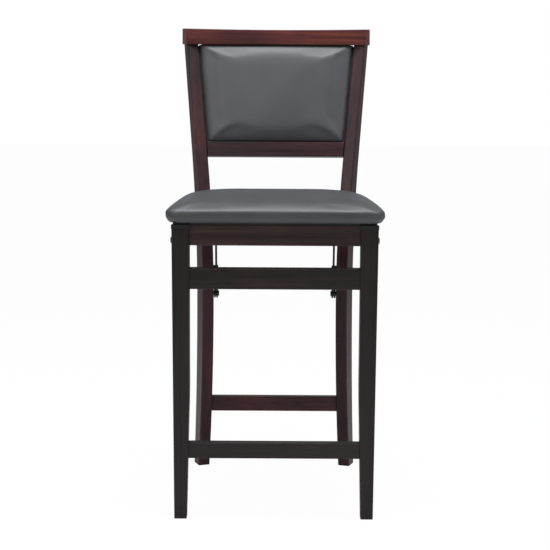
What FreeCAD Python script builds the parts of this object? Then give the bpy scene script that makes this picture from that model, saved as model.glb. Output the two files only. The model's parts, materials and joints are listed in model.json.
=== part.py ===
import FreeCAD, Part
import math
import os

# Folding bar stool in dark stained wood with a padded seat and a padded back panel.
# The rear frame is two curved posts turned a little about the vertical, joined by rails.
# The front frame is a ladder of two straight legs, a stretcher and a footrest.
# The seat turns on two steel hinge plates of the rear frame, the front frame hangs from
# the seat, and two steel arms run from the hinge plates to the front stretcher.
# Seat and arms stay parallel, so the front frame stays upright while the stool folds.
# Millimetres, +Z up, +X to the right, +Y to the rear, origin under the middle of the stool.

os.makedirs("parts", exist_ok=True)

V = FreeCAD.Vector

# Front frame
leg_spread = 403.6
leg_width = 34.4
leg_depth = 38.0
leg_height = 581.0
leg_foot_width = 24.8
leg_foot_depth = 28.0
leg_taper_height = 267.0
leg_lean_in = 3.5
upper_stretcher_bottom = 463.0
upper_stretcher_height = 41.0
upper_stretcher_setback = 3.0
upper_stretcher_thickness = 25.0
footrest_bottom = 123.0
footrest_height = 31.0
footrest_setback = 3.0
footrest_thickness = 24.0

# Rear frame
post_angle = 20.0
post_thickness = 26.0
waist_half_spread = 158.0
waist_depth = 370.0
waist_height = 390.0
post_straight_height = 690.0
post_top_height = 938.0
post_foot_radius = 2400.0
post_back_radius = 1100.0
post_foot_depth = 36.0
post_waist_depth = 44.0
post_shoulder_depth = 36.0
post_top_depth = 26.0
crest_height = 35.0
crest_thickness = 31.0
crest_overhang = 3.0
crest_dip = 2.4
back_opening_height = 240.0
back_rail_height = 32.0
back_rail_thickness = 20.0
back_rail_setback = 7.0
rear_stretcher_bottom = 127.0
rear_stretcher_height = 33.0
rear_stretcher_thickness = 20.0
rear_stretcher_setback = 13.0
hinge_rail_bottom = 503.0
hinge_rail_height = 48.0
hinge_rail_thickness = 20.0
hinge_rail_front = 391.0

# Back panel and its padding
back_board_thickness = 6.0
back_pad_thickness = 20.0
back_cover_thickness = 5.0
back_pad_corner = 12.0
back_pad_edge = 5.0
back_board_inset = 0.3

# Seat
apron_height = 41.0
apron_top = 590.0
apron_setback = 4.0
apron_thickness = 22.0
side_rail_spacing = 188.0
side_rail_thickness = 20.0
side_rail_height = 25.0
rail_lug_height = 36.0
rail_lug_length = 48.0
side_rail_end = 339.0
rear_rail_thickness = 20.0
rear_rail_front = 296.0
corner_block_length = 34.0
corner_block_depth = 30.0
seat_board_thickness = 12.0
seat_board_inset = 16.0
seat_pad_bottom = 592.0
seat_pad_edge_height = 19.0
seat_pad_crown = 24.0
seat_front_width = 433.0
seat_rear_width = 398.0
seat_front = -12.0
seat_rear = 344.0
seat_taper_depth = 262.0
seat_front_corner = 26.0
seat_rear_corner = 72.0
seat_dome_depth = 62.0
seat_dome_reach = 0.97

# Folding linkage, positions seen from the side
leg_pivot_depth = 19.0
leg_pivot_height = 558.0
seat_pivot_depth = 326.0
seat_pivot_height = 566.0
arm_pivot_back = 21.0
arm_pivot_drop = 108.0
arm_width = 18.0
arm_thickness = 3.0
arm_rear_inner = 134.0
arm_front_inner = 117.0
arm_bend_start = 60.0
arm_bend_end = 170.0
hinge_plate_inner = 125.6
hinge_plate_thickness = 4.0
hinge_plate_bar = 18.0
hinge_plate_lobe = 22.0
hinge_flange_width = 34.0
hinge_flange_thickness = 3.0
hinge_flange_height = 44.0
stop_pin_diameter = 8.0
stop_pin_forward = 22.0
stop_pin_reach = 3.0
stretcher_bracket_inner = 112.4
stretcher_bracket_thickness = 3.2
stretcher_bracket_height = 36.0
stretcher_flange_width = 26.0
bolt_diameter = 7.0
bolt_head_diameter = 13.0
bolt_head_height = 2.6
rivet_diameter = 6.0
rivet_head_diameter = 11.0
rivet_head_height = 2.2
screw_diameter = 4.0
screw_head_diameter = 8.0
screw_head_height = 1.6
screw_length = 13.0

# Clearances and small roundings
pin_clearance = 0.08
face_clearance = 0.5
seat_clearance = 0.3
pad_clearance = 1.2
wood_round = 2.0
post_round = 3.0
end_bevel = 0.6
arc_middle_share = 0.25
spare_length = 300.0
board_top_gap = 4.0
pad_top_gap = 5.0
cover_top_gap = 8.0
rail_end_round = 10.0
corner_block_tip = 0.4
spacer_wall = 2.5
nut_thickness = 4.2
arm_bend_radius = 15.0
recess_overcut = 1.0
dome_layers = (0.3, 0.6, 0.85, 1.0)

# Values that follow from the ones above
back_rail_bottom = post_top_height - back_opening_height
leg_outer = leg_spread / 2
leg_inner = leg_outer - leg_width
turn = math.radians(post_angle)
post_top_slope = math.asin((post_straight_height - waist_height) / post_back_radius)
back_lean = math.degrees(math.atan(math.tan(post_top_slope) * math.cos(turn)))
arm_rear_depth = seat_pivot_depth + arm_pivot_back
arm_rear_height = seat_pivot_height - arm_pivot_drop
arm_front_depth = leg_pivot_depth + arm_pivot_back
arm_front_height = leg_pivot_height - arm_pivot_drop
stretcher_back = upper_stretcher_setback + upper_stretcher_thickness
hinge_plate_outer = hinge_plate_inner + hinge_plate_thickness
side_rail_outer = side_rail_spacing / 2 + side_rail_thickness / 2
side_rail_inner = side_rail_outer - side_rail_thickness
side_rail_bottom = apron_top - side_rail_height
rail_lug_bottom = apron_top - rail_lug_height
stretcher_bracket_outer = stretcher_bracket_inner + stretcher_bracket_thickness
hinge_rail_top = hinge_rail_bottom + hinge_rail_height
flange_front = hinge_rail_front - hinge_flange_thickness
flange_bottom = hinge_rail_bottom + (hinge_rail_height - hinge_flange_height) / 2

parts = {}


def box(x0, x1, y0, y1, z0, z1):
    return Part.makeBox(x1 - x0, y1 - y0, z1 - z0, V(x0, y0, z0))


def face_of(points):
    return Part.Face(Part.makePolygon(points + [points[0]]))


def rod(diameter, x0, x1, y, z):
    """Round bar along X between two planes."""
    return Part.makeCylinder(diameter / 2, x1 - x0, V(x0, y, z), V(1, 0, 0))


def mirrored(shape):
    """The same piece on the other side of the stool."""
    return shape.mirror(V(0, 0, 0), V(1, 0, 0))


def round_edges(shape, radius, chosen):
    """Round the edges for which the test is true."""
    edges = [edge for edge in shape.Edges if chosen(edge)]
    return shape.makeFillet(radius, edges)


def straight_along(axis):
    """Test for straight edges that run mainly along one axis (0 is X, 1 is Y, 2 is Z)."""
    def test(edge):
        start = edge.Vertexes[0].Point
        end = edge.Vertexes[-1].Point
        run = [abs(end.x - start.x), abs(end.y - start.y), abs(end.z - start.z)]
        return run[axis] > 0.8 * sum(run)
    return test


def keep_pair(name, shape):
    """Store a right hand piece and its mirror image."""
    parts[name + "_right"] = shape
    parts[name + "_left"] = mirrored(shape)


def inner_face_x(depth):
    """Half the distance between the posts' inner faces at one depth, right side."""
    start_x = waist_half_spread - post_thickness * math.cos(turn)
    start_y = waist_depth + post_thickness * math.sin(turn)
    return start_x + (depth - start_y) * math.tan(turn)


def between_posts(gap):
    """Tall prism that fills the room between the posts, less a gap at each side."""
    front = waist_depth - spare_length / 3
    back = waist_depth + spare_length
    side = gap / math.cos(turn)
    points = [
        V(-inner_face_x(front) + side, front, 0),
        V(inner_face_x(front) - side, front, 0),
        V(inner_face_x(back) - side, back, 0),
        V(-inner_face_x(back) + side, back, 0),
    ]
    return face_of(points).extrude(V(0, 0, post_top_height + crest_height))


def post_front(height):
    """Depth of a post's front corner at one height."""
    if height < waist_height:
        run = waist_height - height
        radius = post_foot_radius
    else:
        run = min(height, post_straight_height) - waist_height
        radius = post_back_radius
    along = radius - math.sqrt(radius ** 2 - run ** 2)
    if height > post_straight_height:
        along += (height - post_straight_height) * math.tan(post_top_slope)
    return waist_depth + along * math.cos(turn)


def leaned(shape, height):
    """Lean a piece back with the upper posts, about their front line at one height."""
    moved = shape.copy()
    moved.rotate(V(0, post_front(height), height), V(1, 0, 0), -back_lean)
    return moved


def make_post():
    """One curved board: foot arc, waist, back arc and a straight top, drawn in its own plane."""
    def point(along, height):
        return V(waist_half_spread + along * math.sin(turn), waist_depth + along * math.cos(turn), height)

    def edge_line(foot_along, waist_along, shoulder_along, top_along):
        foot_middle = waist_along + (foot_along - waist_along) * arc_middle_share
        back_middle = waist_along + (shoulder_along - waist_along) * arc_middle_share
        foot_half = waist_height / 2
        back_half = (waist_height + post_straight_height) / 2
        return [
            Part.Arc(point(foot_along, 0), point(foot_middle, foot_half), point(waist_along, waist_height)),
            Part.Arc(
                point(waist_along, waist_height),
                point(back_middle, back_half),
                point(shoulder_along, post_straight_height),
            ),
            Part.LineSegment(point(shoulder_along, post_straight_height), point(top_along, post_top_height)),
        ]

    foot = post_foot_radius - math.sqrt(post_foot_radius ** 2 - waist_height ** 2)
    rise = post_straight_height - waist_height
    shoulder = post_back_radius - math.sqrt(post_back_radius ** 2 - rise ** 2)
    top = shoulder + (post_top_height - post_straight_height) * math.tan(post_top_slope)
    front = edge_line(foot, 0, shoulder, top)
    back = edge_line(
        foot + post_foot_depth,
        post_waist_depth,
        shoulder + post_shoulder_depth,
        top + post_top_depth,
    )
    bottom = [Part.LineSegment(point(foot, 0), point(foot + post_foot_depth, 0))]
    cap_back = point(top + post_top_depth, post_top_height)
    cap = [Part.LineSegment(point(top, post_top_height), cap_back)]
    edges = [curve.toShape() for curve in front + cap + back[::-1] + bottom]
    outline = Part.Wire(Part.__sortEdges__(edges))
    board = Part.Face(outline).extrude(V(-math.cos(turn), math.sin(turn), 0) * post_thickness)
    return round_edges(board, post_round, runs_upward)


def runs_upward(edge):
    """True for the long edges of a post, straight or curved."""
    start = edge.Vertexes[0].Point
    end = edge.Vertexes[-1].Point
    return abs(end.z - start.z) > 0.5 * start.distanceToPoint(end) and edge.Length > 100


def make_crest():
    """Straight rail on top of both posts, its ends cut in line with their outer faces."""
    front = post_front(post_top_height) - crest_overhang
    back = front + crest_thickness
    bottom = post_top_height
    top = bottom + crest_height
    end_x = waist_half_spread + (front - waist_depth) * math.tan(turn) + crest_overhang
    end_back = end_x + crest_thickness * math.tan(turn)
    plan = [V(-end_x, front, 0), V(end_x, front, 0), V(end_back, back, 0), V(-end_back, back, 0)]
    plan_prism = face_of(plan).extrude(V(0, 0, top + crest_height))
    upper = Part.Arc(V(-end_back, 0, top), V(0, 0, top - crest_dip), V(end_back, 0, top)).toShape()
    right = Part.makeLine(V(end_back, 0, top), V(end_back, 0, bottom))
    under = Part.makeLine(V(end_back, 0, bottom), V(-end_back, 0, bottom))
    left = Part.makeLine(V(-end_back, 0, bottom), V(-end_back, 0, top))
    front_view = Part.Face(Part.Wire([upper, right, under, left])).extrude(V(0, 3 * back, 0))
    rail = plan_prism.common(front_view)
    return round_edges(rail, wood_round, lambda edge: edge.Length > crest_thickness + 1 or edge.BoundBox.ZLength > 20)


def make_back_rail():
    """Lower rail of the back, leaned with the posts and shouldered against them."""
    front = post_front(back_rail_bottom) + back_rail_setback
    wide = inner_face_x(front + 2 * back_rail_thickness) + 1
    blank = box(
        -wide, wide, front, front + back_rail_thickness,
        back_rail_bottom, back_rail_bottom + back_rail_height,
    )
    blank = round_edges(blank, wood_round, straight_along(0))
    return leaned(blank, back_rail_bottom).common(between_posts(0))


def back_slab(offset, thickness, inset, low, high):
    """Leaned slab between the posts, set back from their front line by an offset."""
    base = back_rail_bottom + back_rail_height
    front = post_front(back_rail_bottom) + back_rail_setback + offset
    wide = inner_face_x(front + spare_length)
    lean_factor = 1 / math.cos(math.radians(back_lean))
    rise = (post_top_height - base) * lean_factor
    blank = box(-wide, wide, front, front + thickness, base + low, base + rise - high)
    return leaned(blank, back_rail_bottom).common(between_posts(inset))


def rounded_slab(slab, corner, edge_radius):
    """Round a slab's four corners, then its front rim."""
    def corner_edge(edge):
        box_edge = edge.BoundBox
        return box_edge.YLength > 2 and box_edge.ZLength < box_edge.YLength and box_edge.XLength < box_edge.YLength
    rounded = round_edges(slab, corner, corner_edge)
    if edge_radius == 0:
        return rounded
    normal = V(0, -math.cos(math.radians(back_lean)), math.sin(math.radians(back_lean)))
    front = max(rounded.Faces, key=lambda face: face.CenterOfMass.dot(normal) + face.Area / 1e6)
    return rounded.makeFillet(edge_radius, front.Edges)


def make_back():
    """Plywood panel between posts, rail and crest, with the pad in front and a cover behind."""
    middle = (back_rail_thickness - back_board_thickness) / 2
    board = back_slab(middle, back_board_thickness, back_board_inset, seat_clearance, board_top_gap)
    pad_front = middle - back_pad_thickness - seat_clearance
    pad = back_slab(pad_front, back_pad_thickness, pad_clearance, pad_clearance, pad_top_gap)
    cover_front = middle + back_board_thickness + seat_clearance
    cover = back_slab(cover_front, back_cover_thickness, pad_clearance, pad_clearance, cover_top_gap)
    parts["back_board"] = board
    parts["back_pad"] = rounded_slab(pad, back_pad_corner, back_pad_edge)
    parts["back_cover"] = rounded_slab(cover, back_pad_corner, 0)


def rounded_section(x0, x1, y0, y1, height, radius):
    """Level rectangle with round corners, for one station of a tapered leg."""
    middle = radius * (1 - math.sqrt(0.5))
    corners = [
        (V(x0, y0 + radius, height), V(x0 + middle, y0 + middle, height), V(x0 + radius, y0, height)),
        (V(x1 - radius, y0, height), V(x1 - middle, y0 + middle, height), V(x1, y0 + radius, height)),
        (V(x1, y1 - radius, height), V(x1 - middle, y1 - middle, height), V(x1 - radius, y1, height)),
        (V(x0 + radius, y1, height), V(x0 + middle, y1 - middle, height), V(x0, y1 - radius, height)),
    ]
    edges = []
    for number, (start, through, end) in enumerate(corners):
        edges.append(Part.Arc(start, through, end).toShape())
        edges.append(Part.makeLine(end, corners[(number + 1) % 4][0]))
    return Part.Wire(edges)


def make_leg():
    """Front leg: straight above, inner and rear faces tapering to the foot."""
    foot_outer = leg_outer - leg_lean_in
    knee_outer = leg_outer - leg_lean_in * (leg_height - leg_taper_height) / leg_height
    sections = [
        rounded_section(foot_outer - leg_foot_width, foot_outer, 0, leg_foot_depth, 0, wood_round),
        rounded_section(leg_inner, knee_outer, 0, leg_depth, leg_taper_height, wood_round),
        rounded_section(leg_inner, leg_outer, 0, leg_depth, leg_height, wood_round),
    ]
    leg = Part.makeLoft(sections, True, True)
    hole = rod(bolt_diameter + 2 * pin_clearance, leg_inner - 1, leg_outer + 1, leg_pivot_depth, leg_pivot_height)
    return leg.cut(hole)


def make_front_rail(bottom, height, setback, thickness, legs):
    """Rail between the front legs, shouldered to their inner faces."""
    wide = leg_outer - leg_width / 2
    rail = box(-wide, wide, setback, setback + thickness, bottom, bottom + height)
    rail = round_edges(rail, wood_round, straight_along(0))
    return rail.cut(legs)


def make_front_frame():
    leg = make_leg()
    keep_pair("front_leg", leg)
    legs = leg.fuse(mirrored(leg))
    parts["upper_stretcher"] = make_front_rail(
        upper_stretcher_bottom, upper_stretcher_height, upper_stretcher_setback, upper_stretcher_thickness, legs)
    parts["footrest"] = make_front_rail(
        footrest_bottom, footrest_height, footrest_setback, footrest_thickness, legs)


def make_rear_frame():
    post = make_post()
    keep_pair("rear_post", post)
    parts["crest_rail"] = make_crest()
    parts["back_rail"] = make_back_rail()
    room = between_posts(0)
    front = post_front(rear_stretcher_bottom) + rear_stretcher_setback
    wide = inner_face_x(front + rear_stretcher_thickness) + 1
    stretcher = box(
        -wide, wide, front, front + rear_stretcher_thickness,
        rear_stretcher_bottom, rear_stretcher_bottom + rear_stretcher_height,
    )
    stretcher = round_edges(stretcher, wood_round, straight_along(0))
    parts["rear_stretcher"] = stretcher.common(room)
    wide = inner_face_x(hinge_rail_front + hinge_rail_thickness) + 1
    rail = box(
        -wide, wide, hinge_rail_front, hinge_rail_front + hinge_rail_thickness,
        hinge_rail_bottom, hinge_rail_top,
    )
    rail = round_edges(rail, wood_round, straight_along(0))
    rail = rail.common(room)
    for screw in hinge_screw_places():
        for side in (1, -1):
            hole = Part.makeCylinder(screw_diameter / 2, screw_length, V(side * screw.x, screw.y, screw.z), V(0, 1, 0))
            rail = rail.cut(hole)
    parts["hinge_rail"] = rail


def hinge_screw_places():
    """Three screws through a hinge plate's flange, right side."""
    middle_x = hinge_plate_inner - hinge_flange_width / 2
    middle_z = flange_bottom + hinge_flange_height / 2
    step = hinge_flange_height / 2 - screw_head_diameter
    return [
        V(middle_x, flange_front, middle_z - step),
        V(middle_x, flange_front, middle_z + step),
        V(middle_x - screw_head_diameter, flange_front, middle_z),
    ]


def screw(place, direction):
    """Pan head screw whose head sits on a plate's face."""
    head = Part.makeCylinder(screw_head_diameter / 2, screw_head_height, place - direction * screw_head_height, direction)
    head = head.makeChamfer(screw_head_height * end_bevel, [far_circle(head, place - direction * screw_head_height)])
    shank = Part.makeCylinder(screw_diameter / 2, screw_length, place, direction)
    return head.fuse(shank)


def far_circle(shape, place):
    """The circular edge nearest to a place."""
    circles = [edge for edge in shape.Edges if len(edge.Vertexes) == 1]
    return min(circles, key=lambda edge: edge.CenterOfMass.distanceToPoint(place))


def lobe_link(y0, z0, width0, y1, z1, width1, x0, x1):
    """Flat plate between two round ends, drawn from the side and given a thickness along X."""
    run = math.hypot(y1 - y0, z1 - z0)
    heading = math.atan2(z1 - z0, y1 - y0)
    offset = math.acos((width0 - width1) / 2 / run)
    corners = []
    for sign in (1, -1):
        angle = heading + sign * offset
        for y, z, width in ((y0, z0, width0), (y1, z1, width1)):
            corners.append(V(x0, y + math.cos(angle) * width / 2, z + math.sin(angle) * width / 2))
    web = face_of([corners[0], corners[1], corners[3], corners[2]]).extrude(V(x1 - x0, 0, 0))
    return web.fuse(rod(width0, x0, x1, y0, z0)).fuse(rod(width1, x0, x1, y1, z1)).removeSplitter()


def make_hinge_plate():
    """Steel angle on the hinge rail: carries the seat pivot, the stop pin and the arm pivot."""
    inner = hinge_plate_inner
    outer = hinge_plate_outer
    bar = lobe_link(
        seat_pivot_depth, seat_pivot_height, hinge_plate_lobe,
        arm_rear_depth, arm_rear_height, hinge_plate_bar, inner, outer)
    pin_y = seat_pivot_depth - stop_pin_forward
    pin_z = rail_lug_bottom - seat_clearance - stop_pin_diameter / 2
    nose = lobe_link(
        seat_pivot_depth, seat_pivot_height, hinge_plate_lobe, pin_y, pin_z, 2 * stop_pin_diameter, inner, outer)
    flange_top = flange_bottom + hinge_flange_height
    bar_lean = arm_pivot_back / arm_pivot_drop
    wing = face_of([
        V(inner, seat_pivot_depth + (seat_pivot_height - flange_top) * bar_lean, flange_top),
        V(inner, hinge_rail_front, flange_top),
        V(inner, hinge_rail_front, flange_bottom),
        V(inner, seat_pivot_depth + (seat_pivot_height - flange_bottom) * bar_lean, flange_bottom + hinge_plate_bar / 2),
    ]).extrude(V(outer - inner, 0, 0))
    flange = box(
        inner - hinge_flange_width, outer, flange_front, hinge_rail_front,
        flange_bottom, flange_bottom + hinge_flange_height)
    plate = bar.fuse(nose).fuse(wing).fuse(flange).removeSplitter()
    plate = plate.cut(rod(bolt_diameter, inner - 1, outer + 1, seat_pivot_depth, seat_pivot_height))
    plate = plate.cut(rod(rivet_diameter, inner - 1, outer + 1, arm_rear_depth, arm_rear_height))
    plate = plate.cut(rod(stop_pin_diameter, inner - 1, outer + 1, pin_y, pin_z))
    for place in hinge_screw_places():
        plate = plate.cut(Part.makeCylinder(screw_diameter / 2, 2 * hinge_flange_thickness, place, V(0, 1, 0)))
    return plate


def headed_pin(diameter, head_diameter, head_height, inner, outer, y, z):
    """Pin along X with a bevelled head on its outer end, the head's seat at the outer plane."""
    shank = rod(diameter, inner, outer, y, z)
    head = rod(head_diameter, outer, outer + head_height, y, z)
    head = head.makeChamfer(head_height * end_bevel, [far_circle(head, V(outer + head_height, y, z))])
    return shank.fuse(head)


def make_hinges():
    """Hinge plates with their pins, screws and stops."""
    keep_pair("hinge_plate", make_hinge_plate())
    screws = [screw(place, V(0, 1, 0)) for place in hinge_screw_places()]
    keep_pair("hinge_screws", Part.makeCompound(screws))
    pin_y = seat_pivot_depth - stop_pin_forward
    pin_z = rail_lug_bottom - seat_clearance - stop_pin_diameter / 2
    keep_pair("stop_pin", rod(stop_pin_diameter, side_rail_inner - stop_pin_reach, hinge_plate_outer, pin_y, pin_z))
    bolt = headed_pin(
        bolt_diameter, bolt_head_diameter, bolt_head_height,
        side_rail_inner - bolt_head_height, hinge_plate_outer, seat_pivot_depth, seat_pivot_height)
    nut = nut_on_rod(side_rail_inner - face_clearance - nut_thickness, side_rail_inner - face_clearance,
                     seat_pivot_depth, seat_pivot_height)
    keep_pair("seat_pivot_bolt", bolt.fuse(nut))
    rivet = headed_pin(
        rivet_diameter, rivet_head_diameter, rivet_head_height,
        hinge_plate_inner - rivet_head_height, arm_rear_inner + arm_thickness + face_clearance,
        arm_rear_depth, arm_rear_height)
    back_head = rod(rivet_head_diameter, hinge_plate_inner - rivet_head_height, hinge_plate_inner,
                    arm_rear_depth, arm_rear_height)
    sleeve = rod(rivet_head_diameter, hinge_plate_outer, arm_rear_inner - face_clearance,
                 arm_rear_depth, arm_rear_height)
    keep_pair("arm_rear_rivet", rivet.fuse(back_head).fuse(sleeve))


def nut_on_rod(x0, x1, y, z):
    """Hexagon nut along X."""
    across = bolt_head_diameter / 2
    corners = []
    for step in range(6):
        angle = math.radians(60 * step)
        corners.append(V(x0, y + across * math.cos(angle), z + across * math.sin(angle)))
    return face_of(corners).extrude(V(x1 - x0, 0, 0))


def make_arm():
    """Flat steel arm with round ends, stepped sideways between two easy bends."""
    start = V(0, arm_front_depth, arm_front_height)
    end = V(0, arm_rear_depth, arm_rear_height)
    length = start.distanceToPoint(end)
    half = arm_width / 2
    rear = arm_rear_inner
    front = arm_front_inner
    plan = [
        V(front, -half, 0), V(front, arm_bend_start, 0), V(rear, arm_bend_end, 0), V(rear, length + half, 0),
        V(rear + arm_thickness, length + half, 0), V(rear + arm_thickness, arm_bend_end, 0),
        V(front + arm_thickness, arm_bend_start, 0), V(front + arm_thickness, -half, 0),
    ]
    strip = face_of(plan).extrude(V(0, 0, arm_width))
    strip.translate(V(0, 0, -half))
    bends = [edge for edge in strip.Edges if is_bend(edge)]
    strip = strip.makeFillet(arm_bend_radius, bends)
    outline = lobe_link(0, 0, arm_width, length, 0, arm_width, 0, 2 * rear)
    strip = strip.common(outline)
    for y in (0, length):
        strip = strip.cut(rod(rivet_diameter + 2 * pin_clearance, 0, 2 * rear, y, 0))
    strip.rotate(V(0, 0, 0), V(1, 0, 0), math.degrees(math.atan2(end.z - start.z, end.y - start.y)))
    strip.translate(start)
    return strip


def is_bend(edge):
    """True for the upright edges where the arm's strip changes direction."""
    middle = edge.BoundBox.Center
    upright = edge.BoundBox.ZLength > arm_width - 1
    return upright and min(abs(middle.y - arm_bend_start), abs(middle.y - arm_bend_end)) < 1


def make_stretcher_bracket():
    """Small steel angle behind the upper stretcher that carries the arm's front end."""
    inner = stretcher_bracket_inner
    outer = stretcher_bracket_outer
    top = upper_stretcher_bottom + stretcher_bracket_height / 2
    ear = face_of([
        V(inner, stretcher_back, top),
        V(inner, arm_front_depth, top),
        V(inner, arm_front_depth + arm_width / 2, arm_front_height),
        V(inner, arm_front_depth, arm_front_height - arm_width / 2),
        V(inner, stretcher_back, upper_stretcher_bottom),
    ]).extrude(V(outer - inner, 0, 0))
    ear = ear.fuse(rod(arm_width, inner, outer, arm_front_depth, arm_front_height))
    flange = box(
        inner - stretcher_flange_width, outer, stretcher_back, stretcher_back + stretcher_bracket_thickness,
        upper_stretcher_bottom + 1, top)
    bracket = ear.fuse(flange).removeSplitter()
    bracket = bracket.cut(rod(rivet_diameter, inner - 1, outer + 1, arm_front_depth, arm_front_height))
    for place in bracket_screw_places():
        bracket = bracket.cut(Part.makeCylinder(screw_diameter / 2, 20, place + V(0, 1, 0), V(0, -1, 0)))
    return bracket


def bracket_screw_places():
    """Two screws through a stretcher bracket's flange, right side."""
    height = upper_stretcher_bottom + stretcher_bracket_height / 4
    face = stretcher_back + stretcher_bracket_thickness
    near = stretcher_bracket_inner - screw_head_diameter
    far = stretcher_bracket_inner - stretcher_flange_width + screw_head_diameter * 0.75
    return [V(near, face, height), V(far, face, height)]


def make_arms():
    keep_pair("folding_arm", make_arm())
    keep_pair("stretcher_bracket", make_stretcher_bracket())
    screws = [screw(place, V(0, -1, 0)) for place in bracket_screw_places()]
    keep_pair("bracket_screws", Part.makeCompound(screws))
    stretcher = parts["upper_stretcher"]
    for place in bracket_screw_places():
        for side in (1, -1):
            start = V(side * place.x, place.y, place.z)
            stretcher = stretcher.cut(Part.makeCylinder(screw_diameter / 2, screw_length, start, V(0, -1, 0)))
    parts["upper_stretcher"] = stretcher
    rivet = headed_pin(
        rivet_diameter, rivet_head_diameter, rivet_head_height,
        stretcher_bracket_inner - rivet_head_height, arm_front_inner + arm_thickness + face_clearance,
        arm_front_depth, arm_front_height)
    back_head = rod(rivet_head_diameter, stretcher_bracket_inner - rivet_head_height, stretcher_bracket_inner,
                    arm_front_depth, arm_front_height)
    collar = rod(rivet_head_diameter, stretcher_bracket_outer, arm_front_inner - face_clearance,
                 arm_front_depth, arm_front_height)
    keep_pair("arm_front_rivet", rivet.fuse(back_head).fuse(collar))


def seat_outline(inset, height):
    """Plan of the seat: wide front with small corners, sides drawn in to a round back."""
    half_front = seat_front_width / 2 - inset
    half_rear = seat_rear_width / 2 - inset
    front = seat_front + inset
    back = seat_rear - inset
    taper = (half_front - half_rear) / seat_taper_depth
    half_corner = half_front - taper * (back - front)
    blank = face_of([
        V(-half_front, front, height), V(half_front, front, height),
        V(half_corner, back, height), V(-half_corner, back, height),
    ]).extrude(V(0, 0, 1))
    def upright(edge):
        return edge.BoundBox.ZLength > 0.9
    front_edges = [edge for edge in blank.Edges if upright(edge) and edge.BoundBox.YMax < front + 1]
    blank = blank.makeFillet(max(seat_front_corner - inset, 2), front_edges)
    back_edges = [edge for edge in blank.Edges if upright(edge) and edge.BoundBox.YMin > back - 1]
    blank = blank.makeFillet(seat_rear_corner - inset, back_edges)
    return min(blank.Faces, key=lambda face: face.CenterOfMass.z)


def make_seat():
    """Seat frame under a plywood board, with the pad folded round the board's edge."""
    room = leg_inner - face_clearance
    apron_back = apron_setback + apron_thickness
    apron = box(-room, room, apron_setback, apron_back, apron_top - apron_height, apron_top)
    apron = round_edges(apron, wood_round, straight_along(0))
    bolt_end = room - corner_block_length
    for side in (1, -1):
        hole = Part.makeCylinder(
            bolt_diameter / 2, corner_block_length, V(side * bolt_end, leg_pivot_depth, leg_pivot_height),
            V(side, 0, 0))
        apron = apron.cut(hole)
    parts["apron"] = apron
    rail = box(side_rail_inner, side_rail_outer, apron_back, side_rail_end, side_rail_bottom, apron_top)
    lug_front = side_rail_end - rail_lug_length
    lug = box(side_rail_inner, side_rail_outer, lug_front, side_rail_end, rail_lug_bottom, apron_top)
    rail = rail.fuse(lug).removeSplitter()
    rail = rail.cut(rod(
        bolt_diameter + 2 * pin_clearance, side_rail_inner - 1, side_rail_outer + 1, seat_pivot_depth,
        seat_pivot_height))
    rear_top = [edge for edge in rail.Edges if edge.BoundBox.YMin > side_rail_end - 0.1
                and edge.BoundBox.XLength > side_rail_thickness - 1]
    rail = rail.makeFillet(rail_end_round, rear_top)
    keep_pair("seat_side_rail", rail)
    parts["seat_rear_rail"] = box(
        -side_rail_inner, side_rail_inner, rear_rail_front, rear_rail_front + rear_rail_thickness,
        side_rail_bottom, apron_top)
    block = face_of([
        V(room, apron_back, side_rail_bottom),
        V(room - corner_block_length, apron_back, side_rail_bottom),
        V(room - corner_block_length, apron_back + corner_block_depth * corner_block_tip, side_rail_bottom),
        V(room - corner_block_length * corner_block_tip, apron_back + corner_block_depth, side_rail_bottom),
        V(room, apron_back + corner_block_depth, side_rail_bottom),
    ]).extrude(V(0, 0, side_rail_height))
    keep_pair("corner_block", block)
    spacer = rod(bolt_diameter + 2 * spacer_wall, side_rail_outer + seat_clearance, hinge_plate_inner - seat_clearance,
                 seat_pivot_depth, seat_pivot_height)
    spacer = spacer.cut(rod(bolt_diameter + 2 * pin_clearance, side_rail_outer - 1, hinge_plate_inner + 1,
                            seat_pivot_depth, seat_pivot_height))
    keep_pair("pivot_spacer", spacer)
    bolt = headed_pin(
        bolt_diameter, bolt_head_diameter, bolt_head_height, bolt_end, leg_outer + seat_clearance,
        leg_pivot_depth, leg_pivot_height)
    keep_pair("leg_pivot_bolt", bolt)
    board = seat_outline(seat_board_inset, apron_top).extrude(V(0, 0, seat_board_thickness))
    parts["seat_board"] = board
    make_seat_pad()


def make_seat_pad():
    """Crowned cushion: upright rim below, domed above, with a recess for the board."""
    top = seat_pad_bottom + seat_pad_edge_height
    rim = seat_outline(0, seat_pad_bottom).extrude(V(0, 0, seat_pad_edge_height))
    layers = [seat_outline(0, top).OuterWire]
    for share in dome_layers:
        fall = 1 - math.sqrt(1 - (share * seat_dome_reach) ** 2)
        inset = seat_dome_depth * fall / (1 - math.sqrt(1 - seat_dome_reach ** 2))
        layers.append(seat_outline(inset, top + seat_pad_crown * share).OuterWire)
    dome = Part.makeLoft(layers, True, True)
    pad = rim.fuse(dome).removeSplitter()
    recess_bottom = seat_pad_bottom - recess_overcut
    recess_top = apron_top + seat_board_thickness + seat_clearance
    recess = seat_outline(seat_board_inset - seat_clearance, recess_bottom)
    parts["seat_pad"] = pad.cut(recess.extrude(V(0, 0, recess_top - recess_bottom)))


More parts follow.
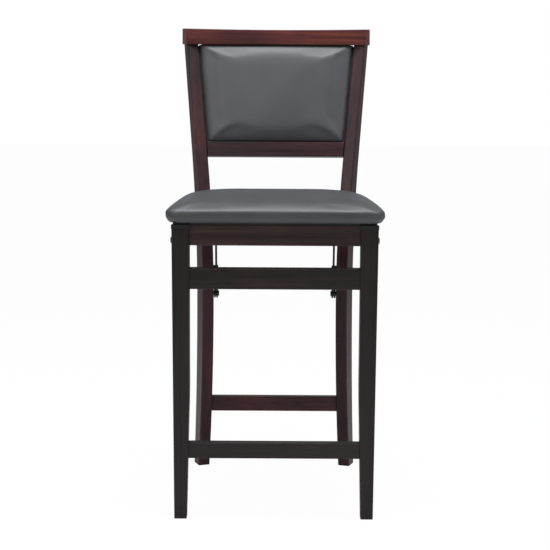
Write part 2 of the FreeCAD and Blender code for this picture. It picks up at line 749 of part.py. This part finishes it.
def write_parts():
    """Centre the stool over the origin and write one file for each piece."""
    whole = Part.makeCompound(list(parts.values())).optimalBoundingBox(False, False)
    shift = V(-(whole.XMin + whole.XMax) / 2, -(whole.YMin + whole.YMax) / 2, 0)
    solids = 0
    for name, shape in parts.items():
        shape.translate(shift)
        shape.exportStep("parts/" + name + ".step")
        solids += len(shape.Solids)
        if not shape.isValid() or not shape.Solids:
            print("check", name, shape.isValid(), len(shape.Solids))
    print("nodes", len(parts), "solids", solids)
    print("box", whole.XLength, whole.YLength, whole.ZMin, whole.ZMax, "shift", shift.y)
    print("seat pivot", seat_pivot_depth + shift.y, seat_pivot_height)
    print("leg pivot", leg_pivot_depth + shift.y, leg_pivot_height)
    print("arm rear pivot", arm_rear_depth + shift.y, arm_rear_height)
    print("arm front pivot", arm_front_depth + shift.y, arm_front_height)


make_rear_frame()
make_back()
make_hinges()
make_front_frame()
make_arms()
make_seat()
write_parts()
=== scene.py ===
import json
import math
import bpy
import numpy as np
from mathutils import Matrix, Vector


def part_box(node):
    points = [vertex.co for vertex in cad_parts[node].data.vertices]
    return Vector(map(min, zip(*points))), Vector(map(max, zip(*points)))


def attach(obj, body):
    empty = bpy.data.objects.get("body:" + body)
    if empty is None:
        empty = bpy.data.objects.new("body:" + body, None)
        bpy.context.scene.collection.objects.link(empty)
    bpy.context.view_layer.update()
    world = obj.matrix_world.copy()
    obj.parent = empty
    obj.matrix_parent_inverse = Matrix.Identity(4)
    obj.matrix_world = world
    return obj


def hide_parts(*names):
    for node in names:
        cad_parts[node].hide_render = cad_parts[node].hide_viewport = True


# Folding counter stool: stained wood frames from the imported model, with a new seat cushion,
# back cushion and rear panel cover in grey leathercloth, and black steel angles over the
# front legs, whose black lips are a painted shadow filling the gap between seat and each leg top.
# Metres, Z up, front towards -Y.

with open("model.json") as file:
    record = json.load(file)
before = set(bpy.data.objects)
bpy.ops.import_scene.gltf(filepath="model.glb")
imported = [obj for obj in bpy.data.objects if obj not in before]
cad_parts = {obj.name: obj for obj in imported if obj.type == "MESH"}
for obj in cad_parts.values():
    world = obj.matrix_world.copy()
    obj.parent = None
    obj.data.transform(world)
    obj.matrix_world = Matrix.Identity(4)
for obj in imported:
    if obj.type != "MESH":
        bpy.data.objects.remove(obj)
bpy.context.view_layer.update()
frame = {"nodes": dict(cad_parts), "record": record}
nodes = frame["nodes"]

# Camera, solved from the picture: about three metres in front of the stool, tipped down a little
picture_width = 550
focal_pixels = 1547
centre_column = 276.1
camera_pitch = math.radians(8.28)
camera_distance = 2.986
camera_height = 0.927
camera_roll = math.radians(-0.32)
sensor_width = 36
front_of_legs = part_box("front_leg_left")[0][1]

# Seat cushion, placed by its own solid and the board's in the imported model
seat_low, seat_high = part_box("seat_pad")
board_low, board_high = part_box("seat_board")
seat_rear_half = 0.199
seat_taper_length = 0.262
seat_front_corner = 0.026
seat_rear_corner = 0.072
seat_swell = -0.003
seat_tuck = 0.007
seat_side_bow = 0.016
seat_widest = 0.615
seat_crown = 0.6375
seat_overhang = 0.0006
seat_edge_round = 0.004

# Back cushion and rear cover; the posts' back arc has a rise over a radius in millimetres
post_turn = math.radians(20)
post_arc_rise = 300
post_arc_radius = 1100
post_slope = math.asin(post_arc_rise / post_arc_radius)
back_lean = math.atan(math.tan(post_slope) * math.cos(post_turn))
pad_thickness = 0.020
cover_thickness = 0.005
back_reach = 0.0110
back_side = -0.0012
back_corner = 0.0032
cover_reach = 0.0128
cover_side = -0.0010
cover_corner = 0.003

# Stuffing of the cushions, and studio
cloth_steps = 20
smooth_passes = 6
floor_reach = 12.0
floor_whiteness = 0.97


def loop_between(corner_points, radii, count):
    """Closed outline through straight sides and round corners, as count points.

    Each corner is an arc of its own radius, tangent to both sides: centre = corner + bisector
    times radius / sin(half angle). Points are spread evenly by length along sides and arcs.
    """
    corners = np.asarray(corner_points, float)
    before = np.roll(corners, 1, axis=0) - corners
    after = np.roll(corners, -1, axis=0) - corners
    before /= np.linalg.norm(before, axis=1, keepdims=True)
    after /= np.linalg.norm(after, axis=1, keepdims=True)
    half = np.arccos(np.clip((before * after).sum(axis=1), -1, 1)) / 2
    radii = np.asarray(radii, float)
    bisector = before + after
    bisector /= np.linalg.norm(bisector, axis=1, keepdims=True)
    centres = corners + bisector * (radii / np.sin(half))[:, None]
    starts = corners + before * (radii / np.tan(half))[:, None] - centres
    sweep = math.pi - 2 * half
    turn = np.linspace(0, 1, 17)[None, :] * sweep[:, None]
    x = starts[:, 0:1] * np.cos(turn) - starts[:, 1:2] * np.sin(turn) + centres[:, 0:1]
    y = starts[:, 0:1] * np.sin(turn) + starts[:, 1:2] * np.cos(turn) + centres[:, 1:2]
    path = np.stack([x.ravel(), y.ravel()], axis=1)
    path = np.vstack([path, path[:1]])
    length = np.concatenate([[0], np.cumsum(np.linalg.norm(np.diff(path, axis=0), axis=1))])
    even = np.linspace(0, length[-1], count, endpoint=False)
    return np.stack([np.interp(even, length, path[:, 0]), np.interp(even, length, path[:, 1])], axis=1)


def closed_form(name, rings, smooth=True):
    """Mesh from rings of points (rows, columns, 3): quads between rings, each end closed by a fan."""
    rows, columns = rings.shape[:2]
    column = np.arange(columns)
    following = np.roll(column, -1)
    row = np.arange(rows - 1)[:, None] * columns
    near = [row + column, row + following]
    far = [row + columns + following, row + columns + column]
    quads = np.stack(near + far, axis=-1).reshape(-1, 4)
    centre_low = rings[0].mean(axis=0)
    centre_high = rings[-1].mean(axis=0)
    points = np.vstack([rings.reshape(-1, 3), centre_low, centre_high])
    last = (rows - 1) * columns
    low_fan = np.stack([following, column, np.full(columns, rows * columns)], axis=1)
    high_fan = np.stack([last + column, last + following, np.full(columns, rows * columns + 1)], axis=1)
    faces = [tuple(f) for f in quads.tolist() + low_fan.tolist() + high_fan.tolist()]
    mesh = bpy.data.meshes.new(name)
    mesh.from_pydata(points.tolist(), [], faces)
    mesh.polygons.foreach_set("use_smooth", np.full(len(mesh.polygons), smooth))
    mesh.update()
    piece = bpy.data.objects.new(name, mesh)
    bpy.context.collection.objects.link(piece)
    return piece


def shrinking(count, crowding):
    """Shares of an outline from its rim, 1, to near its middle, crowded towards the rim."""
    return 1 - np.linspace(0, 1, count) ** crowding * 0.985


def points_of(piece):
    """The vertices of a piece as an array of rows."""
    flat = np.empty(len(piece.data.vertices) * 3, np.float32)
    piece.data.vertices.foreach_get("co", flat)
    return flat.reshape(-1, 3).astype(float)


def put_points(piece, points):
    """Move the vertices of a piece to the rows of an array."""
    piece.data.vertices.foreach_set("co", points.astype(np.float32).ravel())
    piece.data.update()


def apply_all(piece):
    """Replace the mesh of a piece by the one its modifiers give."""
    depsgraph = bpy.context.evaluated_depsgraph_get()
    made = bpy.data.meshes.new_from_object(piece.evaluated_get(depsgraph))
    piece.modifiers.clear()
    piece.data = made


def blown_up(piece, held, most):
    """Run a piece as cloth under pressure without gravity, with its held points pinned.

    No point ends further than most from where it started.
    """
    start = points_of(piece)
    pinned = piece.vertex_groups.new(name="held")
    pinned.add(np.nonzero(held(start))[0].tolist(), 1.0, "REPLACE")
    cloth = piece.modifiers.new("cloth", "CLOTH")
    cloth.settings.quality = 6
    cloth.settings.use_pressure = True
    cloth.settings.uniform_pressure_force = 4
    cloth.settings.vertex_group_mass = "held"
    cloth.settings.tension_stiffness = 12
    cloth.settings.compression_stiffness = 12
    cloth.settings.bending_stiffness = 2
    cloth.settings.effector_weights.gravity = 0
    scene = bpy.context.scene
    scene.frame_start = 1
    scene.frame_end = cloth_steps
    for step in range(1, cloth_steps + 1):
        scene.frame_set(step)
    apply_all(piece)
    scene.frame_set(1)
    piece.vertex_groups.clear()
    moved = points_of(piece) - start
    far = np.linalg.norm(moved, axis=1, keepdims=True)
    put_points(piece, start + moved * np.minimum(1, most / np.maximum(far, 1e-9)))


def stuffed(piece, voxel, held, most):
    """Turn a closed form into a cushion: even mesh, blown up a little, smoothed and subdivided once."""
    remesh = piece.modifiers.new("even mesh", "REMESH")
    remesh.mode = "VOXEL"
    remesh.voxel_size = voxel
    apply_all(piece)
    blown_up(piece, held, most)
    smooth = piece.modifiers.new("smooth", "SMOOTH")
    smooth.factor = 0.5
    smooth.iterations = smooth_passes
    finer = piece.modifiers.new("finer", "SUBSURF")
    finer.levels = 1
    finer.render_levels = 1
    apply_all(piece)
    piece.data.polygons.foreach_set("use_smooth", np.full(len(piece.data.polygons), True))


def seat_loop(inset, count=240):
    """Plan of the seat drawn in by an inset: wide front, sides drawn in, round rear corners.

    The sides bow outwards: x is multiplied by 1 + bow * sin(pi * t ** 0.8), t running from the
    front, 0, to the rear, 1.
    """
    front = seat_low[1] + inset
    rear = seat_high[1] - inset
    half_front = seat_high[0] + seat_overhang - inset
    taper = (seat_high[0] + seat_overhang - seat_rear_half) / seat_taper_length
    half_rear = half_front - taper * (rear - front)
    corners = [(-half_front, front), (half_front, front), (half_rear, rear), (-half_rear, rear)]
    front_corner = max(seat_front_corner - inset, 0.004)
    rear_corner = max(seat_rear_corner - inset, 0.02)
    loop = loop_between(corners, [front_corner, front_corner, rear_corner, rear_corner], count)
    along = np.clip((loop[:, 1] - front) / (rear - front), 0, 1)
    loop[:, 0] *= 1 + seat_side_bow * np.sin(math.pi * along ** 0.8)
    return loop


def make_seat_cushion():
    """Crowned cushion over the plywood board, open below where the board sits.

    The profile runs from the ceiling of the board's recess down to the underside, round the
    bottom edge, up and out along the side, which tucks in below, and in over the crown. The
    crown's height is widest + rise * (1 - share ** 3) ** 0.56, share being the distance
    from the middle over that at the rim.
    """
    board_gap = 0.0004
    ceiling = board_high[2] + board_gap
    board_edge = seat_high[0] - board_high[0] - board_gap
    bottom = board_low[2]
    rings = []

    def ring(loop, height):
        rings.append(np.column_stack([loop, np.full(len(loop), height)]))

    inner = seat_loop(board_edge)
    centre = inner.mean(axis=0)
    for share in (0.25, 0.5, 0.75, 1.0):
        ring(centre + (inner - centre) * share, ceiling)
    ring(inner, bottom + 0.0005)
    ring(seat_loop((board_edge + seat_tuck) / 2), bottom)
    for turn in np.linspace(0.2, math.pi / 2, 6):
        inset = seat_tuck + seat_edge_round * (1 - math.sin(turn))
        ring(seat_loop(inset), bottom + seat_edge_round * (1 - math.cos(turn)))
    ring(seat_loop(seat_swell + seat_tuck * 0.3), (bottom + seat_widest) / 2 + 0.003)
    centre = seat_loop(0).mean(axis=0)
    rim = seat_loop(seat_swell)
    for share in shrinking(40, 1.8):
        loop = centre + (rim - centre) * share
        ring(loop, seat_widest + (seat_crown - seat_widest) * (1 - share ** 3) ** 0.56)
    cushion = closed_form("seat_cushion", np.array(rings))

    def held(points):
        return points[:, 2] < ceiling + 0.002

    stuffed(cushion, 0.005, held, 0.0025)
    cushion.data.materials.append(leathercloth)
    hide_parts("seat_pad")
    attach(cushion, "seat")


def back_plane(node, thickness):
    """Back face of a leaned panel: its lower edge, up along it, out of its front, and its length."""
    low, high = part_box(node)
    up = np.array([0, math.sin(back_lean), math.cos(back_lean)])
    out = np.array([0, -math.cos(back_lean), math.sin(back_lean)])
    drop = thickness * math.sin(back_lean)
    bottom_back = np.array([0, low[1] + thickness * math.cos(back_lean), low[2]])
    length = (high[2] - low[2] - drop) / math.cos(back_lean)
    return bottom_back, up, out, length


def panel_loop(node, length, inset, level, corner, count=220):
    """Outline of a leaned panel at a level over its back: straight bottom and top, sloping sides.

    The sides follow the turned posts, so each half width shrinks by the way forwards times
    tan(turn).
    """
    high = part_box(node)[1]
    narrowing = math.tan(post_turn)
    half_top = high[0] - level * math.cos(back_lean) * narrowing
    half_bottom = half_top - length * math.sin(back_lean) * narrowing
    corners = [
        (-half_bottom + inset, inset), (half_bottom - inset, inset),
        (half_top - inset, length - inset), (-half_top + inset, length - inset),
    ]
    return loop_between(corners, [max(corner - inset, 0.003)] * 4, count)


def leaned(loop, level, origin, up, out):
    """Points of a flat loop set on a leaned plane, at a level out of its front."""
    across = loop[:, 0:1] * np.array([1, 0, 0])
    return origin + across + loop[:, 1:2] * up + level * out


def make_back_cushion():
    """Pillow between the posts: flat behind, rounded along its rim and softly crowned in front.

    The front's height over the panel is edge + swell * (1 - share ** 5) ** 0.5, share being the
    distance from the middle over that at the rim.
    """
    node = "back_pad"
    origin, up, out, length = back_plane(node, pad_thickness)
    edge = 0.006
    swell = 0.015
    length = length + back_reach
    rings = []

    def ring(loop, level):
        rings.append(leaned(loop, level, origin, up, out))

    base = panel_loop(node, length, back_side, 0, back_corner)
    centre = base.mean(axis=0)
    for share in (0.3, 0.6, 0.9):
        ring(centre + (base - centre) * share, 0.0003)
    ring(base, 0.0006)
    ring(panel_loop(node, length, back_side, edge * 0.6, back_corner), edge * 0.6)
    rim = panel_loop(node, length, back_side, edge, back_corner)
    for share in shrinking(36, 1.7):
        loop = centre + (rim - centre) * share
        ring(loop, edge + swell * (1 - share ** 5) ** 0.5)
    cushion = closed_form("back_cushion", np.array(rings))

    def held(points):
        return (points - origin) @ out < 0.003

    stuffed(cushion, 0.004, held, 0.0018)
    cushion.data.materials.append(leathercloth)
    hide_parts("back_pad")
    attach(cushion, "rear_frame")


def make_rear_cover():
    """Thin padded cover behind the plywood panel, flat in front and softly crowned behind.

    Its back lies at level rim_level - crown * (1 - share ** 4) ** 0.6, share being the distance
    from the middle over that at the rim.
    """
    node = "back_cover"
    origin, up, out, length = back_plane(node, cover_thickness)
    length = length + cover_reach
    rim_level = 0.002
    crown = 0.004
    rings = []

    def ring(loop, level):
        rings.append(leaned(loop, level, origin, up, out))

    centre = panel_loop(node, length, 0.001, 0, 0.012).mean(axis=0)
    rim = panel_loop(node, length, cover_side, cover_thickness, cover_corner)
    for share in (0.3, 0.6, 0.9):
        ring(centre + (rim - centre) * share, cover_thickness)
    ring(rim, cover_thickness)
    back_rim = panel_loop(node, length, cover_side, rim_level, cover_corner)
    for share in shrinking(30, 1.8):
        loop = centre + (back_rim - centre) * share
        ring(loop, rim_level - crown * (1 - share ** 4) ** 0.6)
    # The rings run from front to back, so each is turned round for the faces to look outwards
    cover = closed_form("back_panel_cover", np.array(rings)[:, ::-1])
    cover.data.materials.append(leathercloth)
    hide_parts("back_cover")
    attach(cover, "rear_frame")


def make_plate(name, low, high):
    """Steel plate between two opposite corners, with soft edges."""
    ring = np.array([(low[0], low[1]), (high[0], low[1]), (high[0], high[1]), (low[0], high[1])])
    rings = np.array([np.column_stack([ring, np.full(4, height)]) for height in (low[2], high[2])])
    plate = closed_form(name, rings, False)
    edge = plate.modifiers.new("soft edges", "BEVEL")
    edge.width = 0.0004
    edge.segments = 2
    apply_all(plate)
    plate.data.materials.append(black_steel)
    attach(plate, "seat")


def make_gap_shade_strips():
    """Black steel angles under the board's front corners, closing the gap over each front leg with
    black: a dark sheet standing in for the shadow in that gap, a painted shadow.

    Each is two flat plates: a lip just over and in front of the leg's top, which carries the painted
    shadow, and a flange under the board.
    """
    leg_low, leg_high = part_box("front_leg_right")
    gap = 0.0008
    sheet = 0.0014
    past_inside = 0.0015
    past_outside = 0.0005
    under_board = 0.008
    board_gap = 0.0001
    for side, name in ((1, "right"), (-1, "left")):
        across = sorted((side * (leg_low[0] - past_inside), side * (leg_high[0] + past_outside)))
        # painted shadow: the lip is a black sheet across the gap above the leg top, where that gap is
        # shaded
        lip_low = (across[0], leg_low[1] - gap - sheet, leg_high[2] + gap)
        lip_high = (across[1], leg_low[1] - gap, board_low[2])
        make_plate("gap_shade_lip_" + name, lip_low, lip_high)
        flange_low = (across[0], leg_low[1] - gap, board_low[2] - sheet)
        flange_high = (across[1], board_low[1] + under_board, board_low[2] - board_gap)
        make_plate("leg_top_flange_" + name, flange_low, flange_high)


def new_finish(name):
    """Material with its node tree and its surface shader."""
    finish = bpy.data.materials.new(name)
    finish.use_nodes = True
    tree = finish.node_tree
    shader = tree.nodes["Principled BSDF"]
    return finish, tree, shader


def ramp(tree, source, stops):
    """Colours along a value: stops are (place, linear colour)."""
    node = tree.nodes.new("ShaderNodeValToRGB")
    elements = node.color_ramp.elements
    while len(elements) < len(stops):
        elements.new(0.5)
    for element, (place, colour) in zip(elements, stops):
        element.position = place
        element.color = (*colour, 1)
    tree.links.new(source, node.inputs["Fac"])
    return node.outputs["Color"]


def mapped(tree, scale):
    """Object coordinates stretched by a scale along each axis."""
    place = tree.nodes.new("ShaderNodeTexCoord")
    mapping = tree.nodes.new("ShaderNodeMapping")
    mapping.inputs["Scale"].default_value = scale
    tree.links.new(place.outputs["Object"], mapping.inputs["Vector"])
    return mapping.outputs["Vector"]


def noise(tree, vector, scale, detail=4, roughness=0.5, distortion=0.0):
    """Cloudy value between 0 and 1 over a vector."""
    node = tree.nodes.new("ShaderNodeTexNoise")
    node.inputs["Scale"].default_value = scale
    node.inputs["Detail"].default_value = detail
    node.inputs["Roughness"].default_value = roughness
    node.inputs["Distortion"].default_value = distortion
    tree.links.new(vector, node.inputs["Vector"])
    return node.outputs["Fac"]


def spread(tree, value, low, high, low_to, high_to):
    """A value stretched from one range to another, held at its ends."""
    node = tree.nodes.new("ShaderNodeMapRange")
    for name, number in zip(("From Min", "From Max", "To Min", "To Max"), (low, high, low_to, high_to)):
        node.inputs[name].default_value = number
    tree.links.new(value, node.inputs["Value"])
    return node.outputs["Result"]


def mixed(tree, factor, first, second, blend="MIX"):
    """Mix of two colours, either linked or plain."""
    node = tree.nodes.new("ShaderNodeMix")
    node.data_type = "RGBA"
    node.blend_type = blend
    for socket, value in ((node.inputs[0], factor), (node.inputs[6], first), (node.inputs[7], second)):
        if isinstance(value, bpy.types.NodeSocket):
            tree.links.new(value, socket)
        elif isinstance(value, tuple):
            socket.default_value = (*value, 1)
        else:
            socket.default_value = value
    return node.outputs[2]


def bumped(tree, shader, height, distance, strength=1.0, under=None):
    """Relief on a surface shader from a height, over an earlier relief if one is given."""
    node = tree.nodes.new("ShaderNodeBump")
    node.inputs["Strength"].default_value = strength
    node.inputs["Distance"].default_value = distance
    tree.links.new(height, node.inputs["Height"])
    if under is not None:
        tree.links.new(under, node.inputs["Normal"])
    tree.links.new(node.outputs["Normal"], shader.inputs["Normal"])
    return node.outputs["Normal"]


def stained_wood(name, grain_axis, stain_colours, middle_at=0.55):
    """Dark stained hardwood under satin lacquer, in deep, middle and warm stain colours.

    Broad cloudy patches of warmer stain, long growth streaks along the grain axis, and fine
    dark pores drawn out along it; pores sink a little under the lacquer.
    """
    finish, tree, shader = new_finish(name)
    along = {"x": 0, "y": 1, "z": 2}[grain_axis]
    deep, middle, warm = stain_colours

    def stretched(across, lengthwise):
        scale = [across, across, across]
        scale[along] = lengthwise
        return mapped(tree, tuple(scale))

    clouds = noise(tree, stretched(9, 3.5), 1.0, 3, 0.55, 0.4)
    streaks = noise(tree, stretched(70, 2.2), 1.0, 5, 0.6, 0.6)
    lines = noise(tree, stretched(260, 5), 1.0, 3, 0.6, 0.2)
    pores = noise(tree, stretched(900, 28), 1.0, 2, 0.5)
    plain = (1, 1, 1)
    streak_dark = (0.55, 0.52, 0.52)
    streak_light = (1.45, 1.30, 1.22)
    line_dark = (0.72, 0.70, 0.70)
    line_light = (1.22, 1.16, 1.12)
    pore_dark = (0.45, 0.42, 0.42)
    stain = ramp(tree, clouds, [(0.30, deep), (middle_at, middle), (0.78, warm)])
    streak_shade = ramp(tree, streaks, [(0.30, streak_dark), (0.50, plain), (0.70, streak_light)])
    line_shade = ramp(tree, lines, [(0.32, line_dark), (0.52, plain), (0.72, line_light)])
    pore_shade = ramp(tree, pores, [(0.30, pore_dark), (0.42, plain)])
    colour = mixed(tree, 1.0, stain, streak_shade, "MULTIPLY")
    colour = mixed(tree, 1.0, colour, line_shade, "MULTIPLY")
    colour = mixed(tree, 0.8, colour, pore_shade, "MULTIPLY")
    tree.links.new(colour, shader.inputs["Base Color"])
    rough = spread(tree, streaks, 0.3, 0.7, 0.40, 0.50)
    tree.links.new(rough, shader.inputs["Roughness"])
    shader.inputs["Specular IOR Level"].default_value = 0.22
    shader.inputs["Coat Weight"].default_value = 0.08
    shader.inputs["Coat Roughness"].default_value = 0.25
    first = bumped(tree, shader, pores, 0.00012, 0.5)
    bumped(tree, shader, streaks, 0.0004, 0.25, first)
    return finish


def make_leathercloth():
    """Grey leathercloth: fine pebbled grain of cells and creases, with painted shade darkening the
    creases, and soft broad unevenness.
    """
    finish, tree, shader = new_finish("grey leathercloth")
    place = mapped(tree, (1, 1, 1))
    clouds = noise(tree, place, 14, 3, 0.5)
    shade = ramp(tree, clouds, [(0.3, (0.034, 0.034, 0.037)), (0.7, (0.042, 0.042, 0.046))])
    cells = tree.nodes.new("ShaderNodeTexVoronoi")
    cells.feature = "DISTANCE_TO_EDGE"
    cells.inputs["Scale"].default_value = 900
    tree.links.new(place, cells.inputs["Vector"])
    valley = spread(tree, cells.outputs["Distance"], 0.0, 0.25, 0.0, 1.0)
    fine = noise(tree, place, 2600, 2, 0.5)
    # painted shade: the colour is darkened in the grain's valleys, where the bump sinks
    crease_shade = ramp(tree, valley, [(0.0, (0.82, 0.82, 0.82)), (0.5, (1, 1, 1))])
    colour = mixed(tree, 1.0, shade, crease_shade, "MULTIPLY")
    tree.links.new(colour, shader.inputs["Base Color"])
    tree.links.new(spread(tree, clouds, 0.3, 0.7, 0.42, 0.50), shader.inputs["Roughness"])
    shader.inputs["Specular IOR Level"].default_value = 0.62
    first = bumped(tree, shader, valley, 0.00010, 0.5)
    second = bumped(tree, shader, fine, 0.00005, 0.4, first)
    bumped(tree, shader, noise(tree, place, 28, 2, 0.5), 0.0012, 0.12, second)
    return finish


def make_black_steel():
    """Black powder coat: fine orange peel over slightly uneven black."""
    finish, tree, shader = new_finish("black powder coat")
    place = mapped(tree, (1, 1, 1))
    peel = noise(tree, place, 700, 2, 0.5)
    clouds = noise(tree, place, 40, 3, 0.5)
    colour = ramp(tree, clouds, [(0.3, (0.005, 0.005, 0.0055)), (0.75, (0.010, 0.010, 0.0105))])
    tree.links.new(colour, shader.inputs["Base Color"])
    tree.links.new(spread(tree, clouds, 0.3, 0.7, 0.38, 0.5), shader.inputs["Roughness"])
    shader.inputs["Specular IOR Level"].default_value = 0.3
    bumped(tree, shader, peel, 0.00012, 0.4)
    return finish


def make_fastener_metal():
    """Dark zinc with small clouds of brighter, duller metal where it is rubbed."""
    finish, tree, shader = new_finish("dark zinc")
    place = mapped(tree, (1, 1, 1))
    rub = noise(tree, place, 160, 4, 0.6)
    colour = ramp(tree, rub, [(0.45, (0.09, 0.09, 0.095)), (0.7, (0.26, 0.26, 0.27))])
    tree.links.new(colour, shader.inputs["Base Color"])
    shader.inputs["Metallic"].default_value = 0.9
    tree.links.new(spread(tree, rub, 0.3, 0.7, 0.30, 0.45), shader.inputs["Roughness"])
    return finish


def make_plywood():
    """Plywood washed with black stain: long grain, deeper black in the pores."""
    finish, tree, shader = new_finish("stained plywood")
    grain = noise(tree, mapped(tree, (4, 90, 90)), 1.0, 5, 0.6, 0.8)
    pores = noise(tree, mapped(tree, (30, 700, 700)), 1.0, 2, 0.5)
    dark = (0.010, 0.007, 0.006)
    middle = (0.018, 0.012, 0.010)
    light = (0.030, 0.020, 0.015)
    colour = ramp(tree, grain, [(0.3, dark), (0.55, middle), (0.75, light)])
    shade = ramp(tree, pores, [(0.32, (0.6, 0.55, 0.5)), (0.46, (1, 1, 1))])
    tree.links.new(mixed(tree, 0.8, colour, shade, "MULTIPLY"), shader.inputs["Base Color"])
    shader.inputs["Roughness"].default_value = 0.75
    bumped(tree, shader, grain, 0.0003, 0.3)
    return finish


def make_woods():
    """Stained finishes for the wooden boards, each as deep, middle and warm stain with its grain."""
    front = ((0.0085, 0.0062, 0.0060), (0.0150, 0.0100, 0.0092), (0.032, 0.016, 0.0125))
    rear = ((0.0170, 0.0070, 0.0090), (0.036, 0.0115, 0.0140), (0.085, 0.020, 0.018))
    apron = ((0.022, 0.013, 0.0115), (0.042, 0.021, 0.0175), (0.075, 0.034, 0.026))
    crest = ((0.028, 0.0085, 0.0095), (0.062, 0.0155, 0.0150), (0.15, 0.034, 0.022))
    return {
        "front uprights": stained_wood("stained front uprights", "z", front, 0.62),
        "front rails": stained_wood("stained front rails", "x", front),
        "apron": stained_wood("stained apron", "x", apron),
        "seat sides": stained_wood("stained seat sides", "y", front),
        "posts": stained_wood("stained posts", "z", rear),
        "rear rails": stained_wood("stained rear rails", "x", rear),
        "crest": stained_wood("stained crest", "x", crest, 0.5),
    }


def dress_frame():
    """Give every solid of the frame its finish, with wood grain along each board."""
    woods = make_woods()
    chosen = {
        "front_leg_left": "front uprights", "front_leg_right": "front uprights",
        "upper_stretcher": "front rails", "footrest": "front rails", "seat_rear_rail": "front rails",
        "apron": "apron", "seat_side_rail_left": "seat sides", "seat_side_rail_right": "seat sides",
        "rear_post_left": "posts", "rear_post_right": "posts", "crest_rail": "crest",
        "back_rail": "rear rails", "rear_stretcher": "rear rails", "hinge_rail": "rear rails",
    }
    by_slot = {"plywood": plywood, "black_steel": black_steel, "fastener": fastener_metal}
    by_slot["cover"] = leathercloth
    slots = {part["node"]: part["material_slot"] for part in frame["record"]["subparts"]}
    for name, node in nodes.items():
        finish = woods[chosen[name]] if name in chosen else by_slot[slots[name]]
        for number in range(len(node.data.materials)):
            node.data.materials[number] = finish


def make_floor():
    """Plain pale floor that the camera sees nearly white."""
    corners = [(-floor_reach, -floor_reach, 0), (floor_reach, -floor_reach, 0)]
    corners += [(floor_reach, floor_reach, 0), (-floor_reach, floor_reach, 0)]
    mesh = bpy.data.meshes.new("studio floor")
    mesh.from_pydata(corners, [], [(0, 1, 2, 3)])
    floor = bpy.data.objects.new("studio_floor", mesh)
    bpy.context.collection.objects.link(floor)
    finish = bpy.data.materials.new("studio white")
    finish.use_nodes = True
    tree = finish.node_tree
    tree.nodes.clear()
    output = tree.nodes.new("ShaderNodeOutputMaterial")
    diffuse = tree.nodes.new("ShaderNodeBsdfDiffuse")
    diffuse.inputs["Color"].default_value = (0.8, 0.8, 0.8, 1)
    white = tree.nodes.new("ShaderNodeEmission")
    white.inputs["Color"].default_value = (1, 1, 1, 1)
    white.inputs["Strength"].default_value = 1
    path = tree.nodes.new("ShaderNodeLightPath")
    seen = tree.nodes.new("ShaderNodeMath")
    seen.operation = "MULTIPLY"
    seen.inputs[1].default_value = floor_whiteness
    blend = tree.nodes.new("ShaderNodeMixShader")
    tree.links.new(path.outputs["Is Camera Ray"], seen.inputs[0])
    tree.links.new(seen.outputs[0], blend.inputs[0])
    tree.links.new(diffuse.outputs[0], blend.inputs[1])
    tree.links.new(white.outputs[0], blend.inputs[2])
    tree.links.new(blend.outputs[0], output.inputs["Surface"])
    floor.data.materials.append(finish)


def make_surround():
    """White surround for the camera, and a soft bluish one for everything that it lights."""
    world = bpy.data.worlds.new("studio")
    bpy.context.scene.world = world
    world.use_nodes = True
    tree = world.node_tree
    tree.nodes.clear()
    output = tree.nodes.new("ShaderNodeOutputWorld")
    soft = tree.nodes.new("ShaderNodeBackground")
    soft.inputs["Color"].default_value = (0.93, 0.96, 1.0, 1)
    soft.inputs["Strength"].default_value = 0.36
    seen_white = tree.nodes.new("ShaderNodeBackground")
    seen_white.inputs["Color"].default_value = (1, 1, 1, 1)
    path = tree.nodes.new("ShaderNodeLightPath")
    either = tree.nodes.new("ShaderNodeMath")
    either.operation = "MAXIMUM"
    blend = tree.nodes.new("ShaderNodeMixShader")
    tree.links.new(path.outputs["Is Camera Ray"], either.inputs[0])
    tree.links.new(path.outputs["Is Transmission Ray"], either.inputs[1])
    tree.links.new(either.outputs[0], blend.inputs[0])
    tree.links.new(soft.outputs[0], blend.inputs[1])
    tree.links.new(seen_white.outputs[0], blend.inputs[2])
    tree.links.new(blend.outputs[0], output.inputs["Surface"])


def lamp(name, place, size, power, colour):
    """Soft rectangular lamp turned towards the middle of the stool."""
    light = bpy.data.lights.new(name, "AREA")
    light.shape = "RECTANGLE"
    light.size = size[0]
    light.size_y = size[1]
    light.energy = power
    light.color = colour
    thing = bpy.data.objects.new(name, light)
    bpy.context.collection.objects.link(thing)
    thing.location = place
    away = np.array(place, float) - np.array((0, 0, 0.6), float)
    flat = math.hypot(away[0], away[1])
    thing.rotation_euler = (math.atan2(flat, away[2]), 0, math.atan2(away[0], -away[1]))


def make_lamps():
    """A cool lamp overhead and two weaker warm ones, in front at the left and at the right."""
    cool = (0.93, 0.96, 1.0)
    warm = (1.0, 0.97, 0.94)
    lamp("overhead softbox", (0, -0.3, 2.5), (2.4, 1.2), 74, cool)
    lamp("front softbox", (-1.7, -2.6, 1.8), (1.2, 1.2), 20, warm)
    lamp("side softbox", (2.4, -1.6, 1.3), (1.0, 1.6), 12, warm)


def make_camera():
    """Camera in front of the stool, aimed a little down; a slight shift sideways frames the picture."""
    camera = bpy.data.cameras.new("camera")
    camera.sensor_width = sensor_width
    camera.lens = sensor_width * focal_pixels / picture_width
    camera.shift_x = -(centre_column - picture_width / 2) / picture_width
    camera.clip_end = 60
    thing = bpy.data.objects.new("camera", camera)
    bpy.context.collection.objects.link(thing)
    thing.location = (0, front_of_legs - camera_distance, camera_height)
    thing.rotation_euler = (math.pi / 2 - camera_pitch, camera_roll, 0)
    bpy.context.scene.camera = thing


leathercloth = make_leathercloth()
black_steel = make_black_steel()
fastener_metal = make_fastener_metal()
plywood = make_plywood()
make_camera()
make_floor()
make_surround()
make_lamps()
dress_frame()
make_seat_cushion()
make_back_cushion()
make_rear_cover()
make_gap_shade_strips()
bpy.context.scene.view_settings.view_transform = "Standard"
